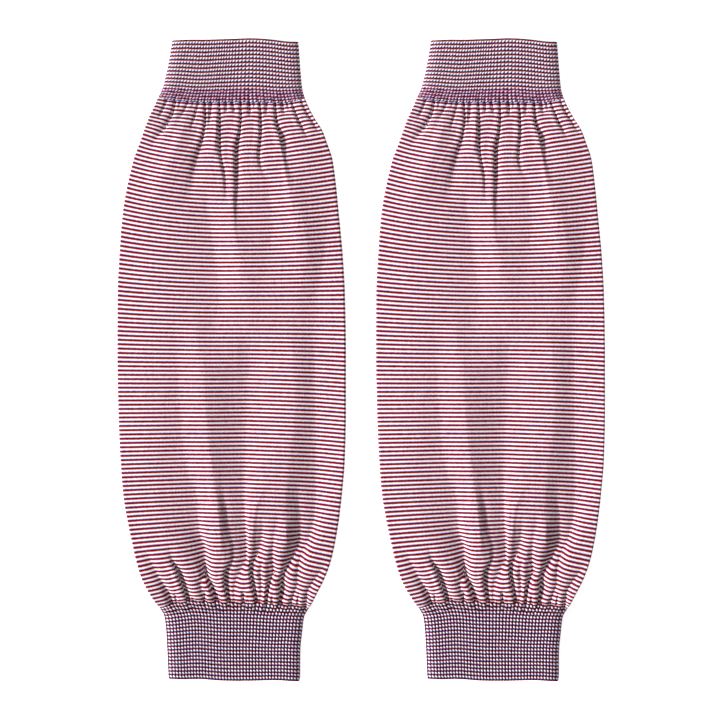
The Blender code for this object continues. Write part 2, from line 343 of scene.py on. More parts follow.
# Folds that start at the lower cuff
LOWER_FOLDS = (
    # Pleat that runs out to the left
    Fold(0, (
        Stop(-170, -41.6, 3.8, 1.8, 1.6),
        Stop(-165, -43.6, 3.4, 2.0, 1.8),
        Stop(-160, -46.0, 2.2, 2.8, 2.4),
        Stop(-152, -50.6, 1.5, 3.6, 3.0),
        Stop(-142, -55.6, 1.2, 4.0, 3.4),
        Stop(-132, -60, 0, 5.0, 4.0),
    )),
    # Steep crease that slants to the left
    Fold(0.9, (
        Stop(-170, -30.4, 3.8, 0.8, 2.2),
        Stop(-163, -33.0, 5.2, 0.8, 2.9),
        Stop(-156, -35.6, 5.6, 0.8, 3.4),
        Stop(-149, -38.0, 4.8, 0.8, 3.4),
        Stop(-143, -40.2, 2.2, 1.4, 3.4),
        Stop(-137, -42.0, 0.8, 2.4, 4.0),
        Stop(-128, -44, 0, 3.0, 4.0),
    )),
    # Long trough left of the middle, a shallow crease beside the cuff
    Fold(0, (
        Stop(-170, -18.6, 0.6, 2.0, 2.0),
        Stop(-163, -20.4, 1.4, 2.2, 2.2),
        Stop(-157, -21.0, 2.0, 2.8, 2.6),
        Stop(-150, -18.2, 3.8, 3.8, 2.6),
        Stop(-142, -18.2, 5.2, 6.4, 3.2),
        Stop(-134, -18.6, 6.2, 8.8, 3.2),
        Stop(-126, -20.8, 5.8, 9.4, 4.0),
        Stop(-118, -22.8, 5.0, 13.0, 5.4),
        Stop(-108, -23.4, 4.6, 17.0, 7.2),
        Stop(-96, -24.0, 4.8, 20.0, 9.0),
        Stop(-78, -31.0, 4.4, 21.0, 11.0),
        Stop(-58, -34.0, 2.9, 17.0, 12.0),
        Stop(-22, -36.0, 2.0, 15.0, 11.0),
        Stop(8, -38, 1.0, 14.0, 10.0),
        Stop(34, -40, 0, 12.0, 10.0),
    )),
    # Crease that branches off it beside the cuff
    Fold(0.5, (
        Stop(-170, -10.8, 3.6, 1.4, 1.6),
        Stop(-165, -12.2, 4.8, 1.4, 2.2),
        Stop(-160, -14.2, 5.4, 1.4, 2.6),
        Stop(-155, -16.6, 5.2, 1.4, 2.8),
        Stop(-150, -18.0, 3.6, 1.4, 2.4),
        Stop(-145, -19.0, 1.6, 1.6, 2.4),
        Stop(-138, -19.6, 0, 2.0, 3.0),
    )),
    # Thin crease that wavers about the middle
    Fold(0.9, (
        Stop(-170, -2.2, 3.6, 0.7, 1.8),
        Stop(-164, -3.8, 4.6, 0.7, 2.6),
        Stop(-158, -5.0, 5.0, 0.7, 3.2),
        Stop(-152, -4.8, 4.2, 0.8, 3.2),
        Stop(-146, -2.0, 2.4, 1.4, 2.8),
        Stop(-140, 1.0, 1.4, 1.8, 2.8),
        Stop(-132, 1.4, 0.9, 2.0, 3.0),
        Stop(-124, -0.4, 0.7, 2.0, 3.0),
        Stop(-116, -2.2, 0.7, 2.0, 3.0),
        Stop(-106, -3.6, 1.0, 2.2, 3.0),
        Stop(-96, -5.2, 0.6, 3.0, 3.0),
        Stop(-84, -8, 0, 3.0, 3.0),
    )),
    # Long trough right of the middle, steep on its right side low down
    Fold(-0.4, (
        Stop(-170, 2.0, 1.2, 1.6, 2.0),
        Stop(-160, 2.4, 1.8, 2.4, 3.0),
        Stop(-153, 4.6, 2.2, 5.0, 2.6),
        Stop(-147, 8.0, 3.0, 6.5, 1.8),
        Stop(-141, 10.1, 3.9, 8.0, 1.2),
        Stop(-132, 10.8, 4.4, 9.0, 1.1),
        Stop(-120, 10.2, 4.4, 9.5, 1.4),
        Stop(-106, 9.4, 3.9, 11.5, 2.2),
        Stop(-92, 9.0, 3.8, 12.0, 4.0),
        Stop(-74, 9.0, 4.4, 15.0, 8.0),
        Stop(-50, 9.8, 4.8, 17.0, 14.0),
        Stop(-28, 11.2, 4.6, 16.0, 16.0),
        Stop(-6, 12.6, 3.4, 13.0, 15.0),
        Stop(8, 13.4, 1.4, 9.0, 14.0),
        Stop(20, 14, 0, 8.0, 12.0),
    )),
    # Crease that bends towards it and away again
    Fold(0.8, (
        Stop(-170, 17.0, 3.4, 0.8, 2.0),
        Stop(-163, 15.8, 4.2, 0.8, 1.6),
        Stop(-157, 14.4, 4.4, 0.8, 2.0),
        Stop(-151, 13.2, 4.4, 0.7, 2.4),
        Stop(-145, 14.2, 4.8, 1.6, 3.0),
        Stop(-139, 17.8, 4.8, 5.8, 2.8),
        Stop(-132, 20.2, 4.6, 8.2, 2.8),
        Stop(-125, 21.4, 3.6, 7.8, 3.2),
        Stop(-118, 21.4, 1.2, 4.0, 4.0),
        Stop(-110, 22, 0, 3.0, 4.0),
    )),
    # Low crest on the right
    Fold(0, (
        Stop(-108, 38.0, 0, 4.0, 3.0),
        Stop(-118, 38.2, -0.8, 4.0, 3.2),
        Stop(-128, 38.4, -0.9, 3.6, 3.0),
        Stop(-136, 39.0, 0, 4.0, 3.0),
    )),
    # Thin crease that stands nearly straight
    Fold(-0.3, (
        Stop(-170, 20.2, 1.6, 1.6, 0.9),
        Stop(-161, 21.4, 1.6, 1.8, 0.9),
        Stop(-150, 20.6, 1.6, 2.0, 1.0),
        Stop(-140, 21.6, 0.8, 2.2, 1.0),
        Stop(-131, 22.6, 0, 2.4, 1.0),
    )),
    # Crease that opens upwards
    Fold(0.3, (
        Stop(-170, 24.2, 3.6, 0.8, 1.2),
        Stop(-160, 25.4, 4.2, 0.8, 1.5),
        Stop(-150, 29.6, 3.4, 4.2, 1.8),
        Stop(-141, 29.0, 3.2, 4.6, 2.2),
        Stop(-133, 29.4, 2.6, 4.8, 2.2),
        Stop(-126, 29.6, 1.5, 3.4, 2.6),
        Stop(-117, 31.0, 1.0, 3.4, 3.4),
        Stop(-106, 32, 0, 4.0, 4.0),
    )),
    # Deep crease that slants to the right
    Fold(0.7, (
        Stop(-170, 33.4, 4.2, 0.9, 2.4),
        Stop(-162, 34.8, 5.4, 1.2, 3.0),
        Stop(-154, 35.8, 5.6, 2.0, 2.6),
        Stop(-144, 41.0, 5.8, 4.2, 2.6),
        Stop(-134, 46.0, 5.6, 6.6, 3.0),
        Stop(-124, 48.0, 3.8, 5.8, 3.6),
        Stop(-112, 48.2, 2.6, 5.8, 4.4),
        Stop(-98, 47.0, 1.5, 5.4, 5.4),
        Stop(-80, 46, 0, 6.0, 8.0),
    )),
    # Long trough along the right side
    Fold(0, (
        Stop(-170, 42.0, 2.6, 1.6, 1.6),
        Stop(-163, 44.6, 1.5, 2.2, 2.0),
        Stop(-156, 46.4, 1.2, 2.4, 2.4),
        Stop(-150, 46.6, 2.0, 3.0, 2.6),
        Stop(-142, 48.0, 4.0, 4.0, 2.8),
        Stop(-134, 51.0, 4.8, 5.4, 3.0),
        Stop(-124, 55.0, 5.4, 7.0, 3.6),
        Stop(-112, 57.8, 5.8, 8.5, 5.0),
        Stop(-98, 59.0, 5.4, 12.0, 8.0),
        Stop(-76, 59.4, 4.6, 12.0, 12.0),
        Stop(-48, 59.0, 3.0, 11.0, 15.0),
        Stop(-16, 58.4, 2.1, 10.0, 16.0),
        Stop(16, 58.6, 1.4, 9.0, 16.0),
        Stop(44, 60.0, 1.1, 9.0, 14.0),
        Stop(72, 65.0, 0.7, 6.0, 10.0),
        Stop(96, 67.0, 0.4, 7.0, 8.0),
        Stop(124, 70, 0, 8.0, 6.0),
    )),
    # Pleat that runs out to the right
    Fold(0, (
        Stop(-170, 51.6, 1.6, 1.6, 1.4),
        Stop(-162, 54.0, 1.5, 2.4, 1.8),
        Stop(-156, 57.4, 1.6, 3.0, 2.2),
        Stop(-149, 61.8, 1.0, 3.4, 2.6),
        Stop(-140, 66, 0, 4.0, 3.0),
    )),
    # Small gathers beside the lower cuff, from left to right
    short_fold(-170.5, -38.4, -163.0, -39.4, 1.8, 0.9),
    short_fold(-170.5, -26.4, -165.0, -27.0, 1.4, 0.9),
    short_fold(-170.5, -19.4, -160.5, -17.8, 2.6, 0.9),
    short_fold(-170.5, -9.2, -163.0, -9.8, 2.0, 0.9),
    short_fold(-170.5, 8.4, -161.5, 8.4, 3.0, 0.9),
    short_fold(-170.5, 28.4, -165.0, 28.8, 1.4, 0.8),
    short_fold(-170.5, 46.4, -163.5, 47.4, 1.2, 0.9),
    short_fold(-170.5, 52.4, -165.0, 54.0, 1.4, 0.9),
)
# Wide, low folds between them, which leave the rows where they are
MIDDLE_FOLDS = (
    # Crest below the longest upper crease
    Fold(0, (
        Stop(124, 0.2, 0, 4.0, 3.0),
        Stop(108, 1.0, -0.8, 4.0, 3.0),
        Stop(88, 3.0, -1.3, 8.0, 10.0),
        Stop(70, 6.4, -1.9, 11.0, 20.0),
        Stop(52, 6.6, -1.8, 12.0, 22.0),
        Stop(34, 5, 0, 10.0, 14.0),
    )),
    # Shallow trough left of it
    Fold(0, (
        Stop(124, -20, 0, 9.0, 6.0),
        Stop(104, -16.0, 2.2, 15.0, 8.0),
        Stop(76, -12.0, 2.9, 18.0, 8.0),
        Stop(44, -9.0, 2.3, 18.0, 9.0),
        Stop(10, -12, 0, 14.0, 10.0),
    )),
    # Shallow trough right of it
    Fold(0, (
        Stop(132, 24, 0, 8.0, 6.0),
        Stop(114, 27.0, 1.1, 12.0, 6.0),
        Stop(92, 29.0, 1.0, 10.0, 8.0),
        Stop(68, 26.0, 0.3, 9.0, 12.0),
        Stop(40, 28, 0, 12.0, 10.0),
    )),
    # Crest on the upper right
    Fold(0, (
        Stop(138, 46, 0, 8.0, 8.0),
        Stop(108, 48.0, -0.9, 12.0, 12.0),
        Stop(78, 53.0, -1.4, 17.0, 10.0),
        Stop(50, 48.0, -0.8, 14.0, 10.0),
        Stop(28, 46, 0, 10.0, 10.0),
    )),
    # Crest between the two long lower troughs
    Fold(0, (
        Stop(34, -25, 0, 10.0, 8.0),
        Stop(10, -23, -0.8, 10.0, 8.0),
        Stop(-30, -19.0, -1.2, 10.0, 10.0),
        Stop(-64, -15.0, -1.4, 10.0, 8.0),
        Stop(-96, -11.0, -1.6, 10.0, 5.0),
        Stop(-118, -8.0, -1.4, 9.0, 3.6),
        Stop(-140, -7, 0, 8.0, 3.0),
    )),
    # Crest between the troughs on the right
    Fold(0, (
        Stop(26, 38, 0, 9.0, 6.0),
        Stop(2, 43.0, -1.2, 15.0, 13.0),
        Stop(-30, 45.0, -1.1, 19.0, 13.0),
        Stop(-60, 42.0, -0.9, 18.0, 13.0),
        Stop(-90, 38.0, -0.8, 12.0, 8.0),
        Stop(-112, 36, 0, 8.0, 6.0),
    )),
    # Fall of the panel towards the left side fold
    Fold(0, (
        Stop(172, -58, 0, 8.0, 12.0),
        Stop(140, -69, 2.6, 8.0, 17.0),
        Stop(90, -78, 3.8, 8.0, 18.0),
        Stop(20, -80, 4.4, 8.0, 17.0),
        Stop(-60, -79, 4.0, 8.0, 17.0),
        Stop(-120, -72, 2.4, 8.0, 16.0),
        Stop(-166, -57, 0, 8.0, 12.0),
    )),
    # Fall of the panel towards the right side fold at both ends, and its rise between them
    Fold(0, (
        Stop(172, 58, 0, 12.0, 8.0),
        Stop(140, 71, 2.0, 16.0, 8.0),
        Stop(90, 77, 0.3, 26.0, 8.0),
        Stop(20, 80, -1.5, 16.0, 8.0),
        Stop(-60, 80, -1.5, 16.0, 8.0),
        Stop(-120, 75, 0.6, 20.0, 8.0),
        Stop(-166, 58, 0, 12.0, 8.0),
    )),
)

# Widest flank that counts as steep, and the powers that shape steep and gentle flanks
STEEP = 1.5
STEEP_POWER = 2.0
GENTLE_POWER = 1.4
# Where cloth leans over a steep flank, counted up from the fold's bottom in widths of the flank,
# and how far the lean reaches below that, in the same widths, and past it, in millimetres
LEAN_FROM = 1.6
LEAN_BELOW = 0.9
LEAN_PAST = 1.6
# A flank leans less the wider it is, and is whole only in a fold of some depth and over some room
SHARPEST = 1.8
SHARP_WIDTH = 4.0
LEAN_DEPTH = 4.0
LEAN_ROOM = 5.0
# The low lip beside a steep flank: its share of the fold's depth, where it is, in widths of the
# flank and millimetres more, and how wide it is
LIP = 0.10
LIP_FROM = 3.0
LIP_GAP = 0.6
LIP_WIDTH = 1.4
# How far the rows slip away from a seam for each millimetre that a fold is deep: in the fold
# itself, and in the cloth beside it that it drags along, which reaches a little way
UPPER_ROW_SLIP = 0.12
LOWER_ROW_SLIP = 0.34
UPPER_ROW_DRAG = 0.34
LOWER_ROW_DRAG = 0.36
DRAG_REACH = 3.6
DRAG_POWER = 1.3
# The drag's share right at a seam, and how far from it the drag is whole
DRAG_AT_SEAM = 0.3
DRAG_WHOLE = 10
# The slip's and the drag's share in the middle of the sleeve, and the stretch in which it grows
SLIP_IN_MIDDLE = 0.1
SLIP_FROM = 100
SLIP_WHOLE = 150
# How much of the folds' depth and slip goes on into a cuff, and how far
PUCKER = 0.35
PUCKER_REACH = 5.0
# Lowest that a fold leaves the upper panel, and a depth too small to count
LOWEST_PANEL = 2.9
LEAST_DEPTH = 0.01
# Height of the panel from which it shows that the cloth lies loose
LOOSE_FROM = 5.0

# Underside creases, which show only from below: the same folds, mirrored and pressed shallow
UNDERSIDE_CREASE = 0.12

# What folds do to the upper panel, and the panel that they leave
Sunk = namedtuple("Sunk", "depth push drag")
Panel = namedtuple("Panel", "height depth push slip")


def eased(rows, column, y):
    """A column of a table read at the places y, eased through its rows without overshooting."""
    ordered = sorted(rows, key=lambda row: row.y)
    places = np.array([row.y for row in ordered], float)
    values = np.array([getattr(row, column) for row in ordered], float)
    steps = np.diff(values) / np.diff(places)
    before, after = steps[:-1], steps[1:]
    same_way = before * after > 0
    total = np.where(same_way, before + after, 1.0)
    slopes = np.zeros_like(values)
    slopes[1:-1] = np.where(same_way, 2 * before * after / total, 0.0)
    slopes[0], slopes[-1] = steps[0], steps[-1]
    i = np.clip(np.searchsorted(places, y) - 1, 0, len(places) - 2)
    span = places[i + 1] - places[i]
    t = np.clip((y - places[i]) / span, 0, 1)
    return (
        (2 * t**3 - 3 * t**2 + 1) * values[i]
        + (t**3 - 2 * t**2 + t) * slopes[i] * span
        + (3 * t**2 - 2 * t**3) * values[i + 1]
        + (t**3 - t**2) * slopes[i + 1] * span
    )


def row_waves(share, course_y):
    """How far the waves of the cuffs lift a row at a share of the width."""
    lift = np.zeros(np.broadcast(share, course_y).shape)
    for waves, end, seam, outward in (
        (UPPER_WAVES, UPPER_END, UPPER_SEAM, 1),
        (LOWER_WAVES, LOWER_END, LOWER_SEAM, -1),
    ):
        stations = [outward * seam - WAVE_FADE, outward * seam]
        stations += [outward * (seam + end) / 2, outward * end]
        for wave in waves:
            height = np.interp(outward * course_y, stations, [0, wave.seam, wave.middle, wave.end])
            lift = lift + height * np.exp(-(((share - wave.share) / wave.spread) ** 2))
    return lift


def place(share, course_y):
    """Where a share of the width lies on a course: its x and y, and the side folds there."""
    side = 2 * share - 1
    rise = np.where(
        side < 0,
        eased(COURSES, "left_rise", course_y),
        eased(COURSES, "right_rise", course_y),
    )
    y = course_y + rise * np.abs(side) ** COURSE_TURN + row_waves(share, course_y)
    left = eased(OUTLINE, "left", y)
    right = eased(OUTLINE, "right", y)
    return left + share * (right - left), y, left, right


def folded(folds, x, y):
    """How far a table of folds sinks the upper panel at each point, pushes it sideways, and drags
    its rows."""
    depth, push, drag = np.zeros_like(x), np.zeros_like(x), np.zeros_like(x)
    for fold in folds:
        deep = eased(fold.stops, "depth", y)
        side = x - eased(fold.stops, "x", y)
        left, right = eased(fold.stops, "left", y), eased(fold.stops, "right", y)
        flank = np.where(side < 0, left, right)
        power = np.where(flank < STEEP, STEEP_POWER, GENTLE_POWER)
        depth += deep * np.exp(-((np.abs(side) / flank) ** power))
        away = np.abs(side) / np.maximum(flank, DRAG_REACH)
        drag += np.maximum(deep, 0) * np.exp(-(away**DRAG_POWER))
        if fold.lean:
            wall, up = (left, -side) if fold.lean > 0 else (right, side)
            past = up - LEAN_FROM * wall
            reach = np.where(past > 0, LEAN_PAST, LEAN_BELOW * wall)
            sharp = np.clip(SHARPEST - wall / SHARP_WIDTH, 0, 1)
            strength = sharp * np.clip(deep / LEAN_DEPTH, 0, 1)
            push += fold.lean * strength * np.exp(-((past / reach) ** 2))
            from_lip = (up - LIP_FROM * wall - LIP_GAP) / LIP_WIDTH
            depth -= LIP * sharp * deep * np.exp(-(from_lip**2))
    return Sunk(depth, push, drag)


def slack(x, y):
    """Faint unevenness of cloth that lies loose: two crossings of waves, a few centimetres long
    and less than a tenth of a millimetre high."""
    broad = np.sin(x / 7.1 + 0.9 * np.sin(y / 23.0)) * np.sin(y / 15.7 + 1.3)
    fine = np.sin(x / 3.9 - y / 31.0 + 2.0) * np.sin(y / 9.3 + x / 27.0)
    return 0.05 * broad + 0.04 * fine


def body_panel(share, course_y):
    """The folded upper panel of the body. Folds press together the more they near the lowest that
    it can lie, and their slip and lean shrink with their room."""
    x, y, _, _ = place(share, course_y)
    height = eased(COURSES, "height", course_y)
    upper, lower = folded(UPPER_FOLDS, x, y), folded(LOWER_FOLDS, x, y)
    depth = upper.depth + lower.depth + folded(MIDDLE_FOLDS, x, y).depth
    room = height - LOWEST_PANEL
    kept = room * (1 - np.exp(-np.maximum(depth, 0) / room)) + np.minimum(depth, 0)
    share_kept = np.where(depth > LEAST_DEPTH, kept / np.maximum(depth, LEAST_DEPTH), 1.0)
    slip = LOWER_ROW_SLIP * np.maximum(lower.depth, 0) - UPPER_ROW_SLIP * np.maximum(upper.depth, 0)
    drag = LOWER_ROW_DRAG * lower.drag - UPPER_ROW_DRAG * upper.drag
    from_seam = np.minimum(UPPER_SEAM - course_y, course_y - LOWER_SEAM)
    slip = share_kept * slip + np.clip(from_seam / DRAG_WHOLE, DRAG_AT_SEAM, 1) * drag
    towards_end = (np.abs(y) - SLIP_FROM) / (SLIP_WHOLE - SLIP_FROM)
    slip = slip * np.clip(towards_end, SLIP_IN_MIDDLE, 1)
    loose = np.clip(height - LOOSE_FROM, 0, 1) * slack(x, y)
    push = (upper.push + lower.push) * np.clip(room / LEAN_ROOM, 0, 1)
    return Panel(height - kept + loose, kept, push, slip)


def side_round(share, fullness):
    """How far a panel has reached its full height at a share of the width."""
    return np.sqrt(np.clip(1 - np.abs(2 * share - 1) ** fullness, 0, 1))


def upright(height, share, fullness):
    """An upper panel's height, brought down to the side folds."""
    return SIDE_FOLD_HEIGHT + (height - SIDE_FOLD_HEIGHT) * side_round(share, fullness)


def body_point(share, upper, course_y, inset):
    """Points of the body's cloth, inset being 0 on its outside and 1 on its inside."""
    x, y, left, right = place(share, course_y)
    wall = JERSEY_WALL * inset
    panel = body_panel(share, course_y)
    before = body_panel(np.clip(share - SLOPE_STEP, 0, 1), course_y).height
    after = body_panel(np.clip(share + SLOPE_STEP, 0, 1), course_y).height
    slope = (after - before) / (2 * SLOPE_STEP * (right - left))
    height = panel.height - wall * np.minimum(np.hypot(1, slope), DEEPEST_WALL)
    tucked = np.clip(np.maximum(course_y - UPPER_SEAM, LOWER_SEAM - course_y) / TUCK, 0, 1)
    over = upright(height - TUCK_DROP * tucked, share, BODY_FULLNESS)
    mirrored = body_panel(1 - share, course_y)
    pressed = UNDERSIDE_CREASE * np.maximum(mirrored.depth, 0) * side_round(share, CREASE_FULLNESS)
    under = SIDE_FOLD_HEIGHT * (1 - side_round(share, UNDERSIDE_FULLNESS)) + pressed
    inner = side_round(share, INSIDE_FULLNESS)
    under = under + TUCK_DROP * tucked + wall * inner
    middle = (left + right) / 2
    narrow = 1 - 2 * (wall + TUCK_DROP * tucked) / (right - left)
    across = middle + (x - middle) * narrow + panel.push * upper * (1 - inset) * inner
    along = y + np.where(upper > 0, panel.slip, mirrored.slip * UNDERSIDE_CREASE)
    return across, along, np.where(upper > 0, over, under)


def rib_profile(turn):
    """Height of a rib at a share of its pitch: a round ridge between two narrow grooves."""
    return np.abs(np.sin(np.pi * turn)) ** RIB_ROUNDNESS


def cuff_point(share, upper, course_y, inset):
    """Points of a cuff's cloth: ribs outside over a plain inside, puckered beside the seam."""
    x, y, left, right = place(share, course_y)
    wall = RIB_WALL * inset
    fade = np.clip(RIB_GROWTH * np.minimum(share, 1 - share), RIB_LEAST, 1)
    ribs = np.where(course_y > 0, ribs_across(UPPER_RIBS, share), ribs_across(LOWER_RIBS, share))
    full = np.where(course_y > 0, UPPER_RIB_RAISE, LOWER_RIB_RAISE) * fade * (inset == 0)
    rib = full * rib_profile(ribs)
    seam = np.clip(course_y, LOWER_SEAM, UPPER_SEAM)
    pucker = np.exp(-((np.abs(course_y - seam) / PUCKER_REACH) ** 2))
    panel = body_panel(share, seam)
    height = eased(COURSES, "height", course_y) - wall - PUCKER * np.maximum(panel.depth, 0) * pucker
    over = upright(height, share, CUFF_FULLNESS) + rib
    under = SIDE_FOLD_HEIGHT * (1 - side_round(share, UNDERSIDE_FULLNESS)) + (full - rib)
    under = under + (wall + RIB_BACKING) * (inset > 0) * side_round(share, INSIDE_FULLNESS)
    middle = (left + right) / 2
    across = middle + (x - middle) * (1 - 2 * wall / (right - left))
    return across, y + upper * panel.slip * pucker, np.where(upper > 0, over, under)


def round_the_tube(across, under, crowding):
    """Shares of the width round a tube, over the upper panel and back under it, and which is which."""
    over = np.linspace(0, 1, across + 1)
    back = np.linspace(1, 0, under + 1)
    share = np.concatenate([over, back[1:]])
    upper = np.concatenate([np.ones(across + 1), np.zeros(under)])
    share = share - crowding * np.sin(2 * np.pi * share) / (2 * np.pi)
    return share, upper


def out_and_back(outside, inside):
    """Rows along a wall: the outside's, then the inside's in the other order, joined at the rims."""
    first = [outside[0] + RIM * np.sign(outside[0] - outside[1])]
    last = [outside[-1] + RIM * np.sign(outside[-1] - outside[-2])]
    course_y = np.concatenate([first, outside, last, inside[::-1]])
    inset = np.concatenate([[0.5], np.zeros(len(outside)), [0.5], np.ones(len(inside))])
    return course_y, inset


def woven_grid(name, across, along):
    """A flat grid of faces, and the column and the row that each of its corners is in."""
    bm = bmesh.new()
    bmesh.ops.create_grid(bm, x_segments=across, y_segments=along, size=0.5)
    mesh = bpy.data.meshes.new(name)
    bm.to_mesh(mesh)
    bm.free()
    corners = np.empty(len(mesh.vertices) * 3)
    mesh.vertices.foreach_get("co", corners)
    corners = corners.reshape(-1, 3)
    columns = np.rint((corners[:, 0] + 0.5) * across).astype(int)
    rows = np.rint((corners[:, 1] + 0.5) * along).astype(int)
    return mesh, columns, rows


def closed_and_turned_out(mesh):
    """Merges a mesh's open edges where they meet, and turns its faces outwards."""
    bm = bmesh.new()
    bm.from_mesh(mesh)
    bmesh.ops.remove_doubles(bm, verts=bm.verts, dist=1e-7)
    bmesh.ops.recalc_face_normals(bm, faces=bm.faces)
    bm.to_mesh(mesh)
    bm.free()
    mesh.shade_smooth()
    return mesh


def woven_tube(name, share, upper, course_y, inset, point, knit):
    """A closed wall of cloth: a grid that goes round the tube and, along it, out and back inside.
    Point gives its places in millimetres, and knit its wales or ribs and its rows, for the map."""
    turns, lengths = len(share) - 1, len(course_y)
    mesh, columns, rows = woven_grid(name, turns, lengths)
    points = point(share[:, None], upper[:, None], course_y[None, :], inset[None, :])
    places = np.stack([np.broadcast_to(part, (turns + 1, lengths)) for part in points], axis=-1)
    places[-1] = places[0]
    mesh.vertices.foreach_set("co", (places[columns, rows % lengths] * MM).ravel())
    loops = np.empty(len(mesh.loops), int)
    mesh.loops.foreach_get("vertex_index", loops)
    across, along = knit(share, upper, course_y)
    along = np.append(along, along[0])
    uv = mesh.uv_layers.new(name="knit")
    knitted = np.stack([across[columns[loops]], along[rows[loops]]], axis=-1)
    uv.uv.foreach_set("vector", knitted.ravel())
    return closed_and_turned_out(mesh)


# How finely the body is woven: steps across the upper panel and the under one, and rows outside
# and inside. The steps crowd a little at the side folds, and the rows at the ends
BODY_ACROSS = 344
BODY_UNDER = 68
BODY_ROWS = 200
BODY_INSIDE_ROWS = 26
SIDE_CROWDING = 0.45
END_CROWDING = 0.5


def body_mesh():
    """The full jersey tube, with its ends tucked into the cuffs."""
    share, upper = round_the_tube(BODY_ACROSS, BODY_UNDER, SIDE_CROWDING)
    top, bottom = UPPER_SEAM + TUCK, LOWER_SEAM - TUCK
    even = np.linspace(0, 1, BODY_ROWS)
    crowded = even - END_CROWDING * np.sin(2 * np.pi * even) / (2 * np.pi)
    outside = top + (bottom - top) * crowded
    inside = np.linspace(top, bottom, BODY_INSIDE_ROWS)
    course_y, inset = out_and_back(outside, inside)

    def knit(share, upper, course_y):
        wales = share * BODY_WIDTH / JERSEY_WALE
        return np.where(upper > 0, wales, -wales), (UPPER_SEAM - course_y) / STRIPE

    return woven_tube("body", share, upper, course_y, inset, body_point, knit)


# Ribs of the cuffs: how many lie across a panel, and a place where they have crept sideways
Ribs = namedtuple("Ribs", "count shift creep share spread")
UPPER_RIBS = Ribs(43, -0.19, 1.20, 0.49, 0.14)
LOWER_RIBS = Ribs(42, 0.0, -0.44, 0.08, 0.15)


def ribs_across(ribs, share):
    """Ribs counted from a side fold to a share of the width."""
    crept = ribs.creep * np.exp(-(((share - ribs.share) / ribs.spread) ** 2))
    return ribs.count * share + ribs.shift + crept


# Rows of the cuffs, counted downwards on the upper panel: where one of them is, which it is, and
# their pitches in the plain rib and in the narrow band of denser rows beside the seam
Rows = namedtuple("Rows", "first_y first pitch")
UPPER_RIB = (Rows(224.2, 0.5, 2.718), Rows(190.0, 13.08, 2.17))
LOWER_RIB = (Rows(-170.6, 0.5, 2.43), Rows(-177.9, 3.5, 2.56))
# How finely a cuff is woven: steps to a rib above and below, the rows' distance outside and how
# many of them go inside
RIB_STEPS = 8
RIB_STEPS_UNDER = 4
ROW_STEP = 0.62
CUFF_INSIDE_ROWS = 5


def cuff_mesh(name, end, seam, rows, ribs):
    """A cuff of 1 by 1 rib, each rib a raised line outside and the inside plain."""
    share, upper = round_the_tube(ribs.count * RIB_STEPS, ribs.count * RIB_STEPS_UNDER, 0.0)
    outside = np.linspace(end, seam, int(abs(end - seam) / ROW_STEP))
    inside = np.linspace(end, seam, CUFF_INSIDE_ROWS)
    course_y, inset = out_and_back(outside, inside)

    def knit(share, upper, course_y):
        first, second = (row.first + (row.first_y - course_y) / row.pitch for row in rows)
        along = np.where(course_y > rows[1].first_y, first, second)
        across = ribs_across(ribs, share)
        return np.where(upper > 0, across, -across), along

    return woven_tube(name, share, upper, course_y, inset, cuff_point, knit)


def linear(code):
    """A linear colour with alpha from an sRGB hex code."""
    parts = [int(code[i : i + 2], 16) / 255 for i in (1, 3, 5)]
    return [p / 12.92 if p <= 0.04045 else ((p + 0.055) / 1.055) ** 2.4 for p in parts] + [1.0]


# Sockets of a Mix node that mixes colours
FACTOR, FIRST, SECOND = 0, 6, 7


def add(tree, kind, *values, others=None, stops=(), **settings):
    """A node with its settings, the values or links of its first sockets in their order, those of
    others by name or number, and a ramp's stops. It gives the node's first output."""
    node = tree.nodes.new("ShaderNode" + kind)
    for key, value in settings.items():
        setattr(node, key, value)
    for key, value in [*enumerate(values), *(others or {}).items()]:
        if isinstance(value, bpy.types.NodeSocket):
            tree.links.new(value, node.inputs[key])
        else:
            node.inputs[key].default_value = value
    for i, (position, code) in enumerate(stops):
        if i >= len(node.color_ramp.elements):
            node.color_ramp.elements.new(position)
        node.color_ramp.elements[i].position = position
        node.color_ramp.elements[i].color = linear(code)
    return next(socket for socket in node.outputs if socket.enabled)


def new_material(name, surface):
    """A material whose surface is the same all over but for what is linked to it later."""
    material = bpy.data.materials.new(name)
    material.use_nodes = True
    for socket, value in surface.items():
        material.node_tree.nodes["Principled BSDF"].inputs[socket].default_value = value
    return material, material.node_tree


# Matt cotton: rough, with the soft glow of loose fibres at a glancing view
COTTON = {"Roughness": 0.92, "Specular IOR Level": 0.05, "Sheen Weight": 0.03, "Sheen Roughness": 0.5}


def knit_surface(tree, colour, height, bump_mm):
    """A knit's colour, and its stitches raised by so many millimetres."""
    shader = tree.nodes["Principled BSDF"]
    tree.links.new(colour, shader.inputs["Base Color"])
    raised = {"Height": height, "Strength": 1.0, "Distance": bump_mm * MM}
    tree.links.new(add(tree, "Bump", others=raised), shader.inputs["Normal"])


def knit_places(tree):
    """The knit map's two numbers: wales or ribs across, and stripes or rows along."""
    split = add(tree, "SeparateXYZ", add(tree, "UVMap", uv_map="knit")).node
    return split.outputs["X"], split.outputs["Y"]


def unevenness(tree, across, along, across_scale, along_scale):
    """Soft noise over the knit, from -0.5 to 0.5, in so many humps to a wale or rib and to a row."""
    x = add(tree, "Math", across, across_scale, operation="MULTIPLY")
    y = add(tree, "Math", along, along_scale, operation="MULTIPLY")
    humps = add(tree, "CombineXYZ", x, y)
    detail = {"Scale": 1.0, "Detail": 2.0}
    noise = add(tree, "TexNoise", humps, others=detail, noise_dimensions="2D")
    return add(tree, "Math", noise, 0.5, operation="SUBTRACT")


